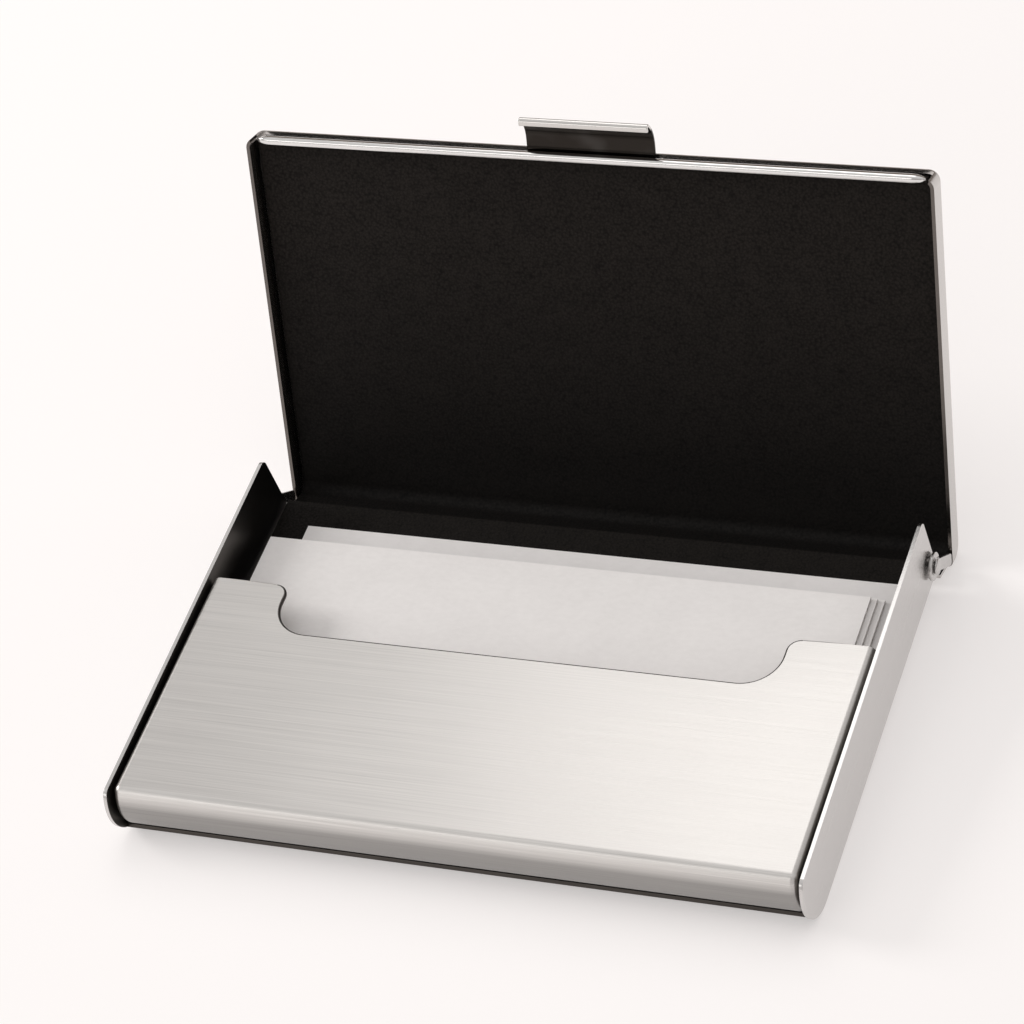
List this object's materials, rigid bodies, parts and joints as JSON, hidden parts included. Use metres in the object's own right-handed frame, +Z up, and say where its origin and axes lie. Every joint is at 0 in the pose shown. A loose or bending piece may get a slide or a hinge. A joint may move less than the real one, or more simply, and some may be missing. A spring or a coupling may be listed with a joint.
{
  "type": "business card case",
  "caption": "Flat steel business card case, open: walled base with a notched pocket plate over blank cards, hinged lid lined in black leather, sprung thumb catch.",
  "frame": {"origin": "middle of the base's flat underside", "axes": "+X along the hinge, +Y from the front to the hinge, +Z up with the base lying flat"},
  "size_m": [0.1008, 0.0899, 0.0594],
  "materials": {
    "satin_steel": "satin",
    "brushed_steel": "brushed across the width",
    "polished_steel": "polished",
    "black_leather": "fine grain, matt",
    "card_stock": "uncoated, blank"
  },
  "bodies": {
    "base": {"base_shell": "satin_steel", "pocket_plate": "brushed_steel", "floor_lining": "black_leather", "card_front": "card_stock", "card_second": "card_stock", "card_third": "card_stock", "card_rear": "card_stock", "card_fifth": "card_stock", "card_sixth": "card_stock", "card_seventh": "card_stock", "hinge_pin_left": "polished_steel", "hinge_pin_right": "polished_steel"},
    "lid": {"lid_shell": "satin_steel", "hinge_link_left": "polished_steel", "hinge_link_right": "polished_steel", "lid_lining": "black_leather", "spine_lining": "black_leather", "front_rail": "polished_steel"},
    "catch": {"thumb_catch": "satin_steel"}
  },
  "joints": [
    {"name": "lid_hinge", "type": "hinge", "parent": "base", "child": "lid", "pos_m": [0, 0.0293, 0.0031], "axis": [1, 0, 0], "range_deg": [0, 110]},
    {"name": "catch_flex", "type": "hinge", "parent": "lid", "child": "catch", "pos_m": [0, 0.05665, 0.0487], "axis": [-1, 0, 0], "range_deg": [0, 6], "stiffness_Nm_per_rad": 0.001}
  ]
}
